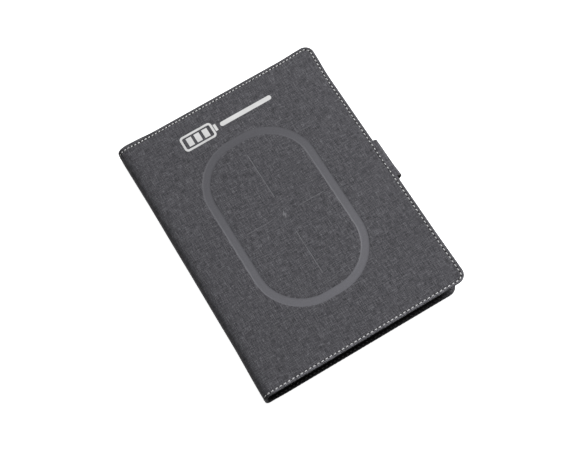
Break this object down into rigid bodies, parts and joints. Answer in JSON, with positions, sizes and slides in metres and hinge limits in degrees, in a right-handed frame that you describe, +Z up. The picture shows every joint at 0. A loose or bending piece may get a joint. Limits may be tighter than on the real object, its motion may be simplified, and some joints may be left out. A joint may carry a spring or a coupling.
{
  "type": "wireless charging folio",
  "caption": "Closed A5 fabric folio with a wireless charging zone and power bank in its front cover, a notebook inside, a rounded spine and a magnetic closing strap.",
  "frame": {"origin": "centre of the closed folio's footprint, on the surface that it lies on", "axes": "+X from the spine to the fore edge, +Y from tail to head, +Z up out of the front cover"},
  "size_m": [0.1768, 0.232, 0.02],
  "materials": {
    "melange_fabric": "matte woven, fine grey melange",
    "inner_lining": "matte woven",
    "foam": "matte",
    "board": "matte",
    "plate_steel": "satin",
    "elastic": "ribbed elastic",
    "notebook_cover": "soft matte",
    "paper": "matte",
    "silver_foil": "satin metallic foil",
    "ferrite": "matte",
    "copper": "enamelled wire",
    "flex_lead": "gloss",
    "pocket_fabric": "matte woven",
    "bank_plastic": "fine texture",
    "screw_steel": "satin",
    "cell_foil": "satin pouch",
    "circuit_board": "gloss",
    "chip_plastic": "matte",
    "socket_steel": "satin",
    "light_lens": "clear",
    "button_plastic": "satin",
    "magnet_nickel": "bright"
  },
  "bodies": {
    "back_cover": {"back_fabric": "melange_fabric", "back_foam": "foam", "back_board": "board", "back_lining": "inner_lining", "keeper_plate": "plate_steel", "pen_loop": "elastic", "notebook_sleeve": "pocket_fabric", "notebook_cover": "notebook_cover", "notebook_pages": "paper"},
    "spine": {"spine_fabric": "melange_fabric", "spine_strip": "board", "spine_lining": "inner_lining", "lower_bend": "melange_fabric", "upper_bend": "melange_fabric"},
    "front_cover": {"front_fabric": "melange_fabric", "front_foam": "foam", "front_board": "board", "front_lining": "inner_lining", "cover_emblem": "silver_foil", "ferrite_sheet": "ferrite", "charging_coil": "copper", "coil_lead": "flex_lead", "card_pocket_rear": "pocket_fabric", "card_pocket_middle": "pocket_fabric", "card_pocket_front": "pocket_fabric", "bank_tray": "bank_plastic", "bank_lid": "bank_plastic", "bank_screws": "screw_steel", "battery_cell_tail": "cell_foil", "battery_cell_head": "cell_foil", "control_board": "circuit_board", "board_parts": "chip_plastic", "input_socket": "socket_steel", "output_socket": "socket_steel", "charge_lights": "light_lens", "button_switch": "chip_plastic", "strap_anchor": "melange_fabric"},
    "button": {"power_button": "button_plastic"},
    "strap": {"strap_root_bend": "melange_fabric", "strap_leg": "melange_fabric"},
    "tongue": {"strap_fold_bend": "melange_fabric", "tongue_fabric": "melange_fabric", "tongue_stiffener": "board", "strap_magnets": "magnet_nickel"}
  },
  "joints": [
    {"name": "spine_fold", "type": "hinge", "parent": "back_cover", "child": "spine", "pos_m": [-0.0869, 0, 0.0015], "axis": [0, -1, 0], "range_deg": [0, 90], "deforming": ["lower_bend"]},
    {"name": "cover_fold", "type": "hinge", "parent": "spine", "child": "front_cover", "pos_m": [-0.0854, 0, 0.017], "axis": [0, -1, 0], "range_deg": [0, 90], "deforming": ["upper_bend"]},
    {"name": "strap_swing", "type": "hinge", "parent": "front_cover", "child": "strap", "pos_m": [0.08773, 0, 0.01821], "axis": [0, -1, 0], "range_deg": [0, 116], "deforming": ["strap_root_bend"]},
    {"name": "strap_fold", "type": "hinge", "parent": "strap", "child": "tongue", "pos_m": [0.08031, 0, 0.00113], "axis": [0, -1, 0], "range_deg": [0, 64], "deforming": ["strap_fold_bend"]},
    {"name": "button_press", "type": "slide", "parent": "front_cover", "child": "button", "axis": [0, 0, 1], "range_m": [0, 0.0003], "stiffness_N_per_m": 2500, "springref_m": -0.0002}
  ],
  "couplings": [
    {"joint": "spine_fold", "follows": "cover_fold", "ratio": 1},
    {"joint": "strap_fold", "follows": "strap_swing", "ratio": 0.5517}
  ]
}
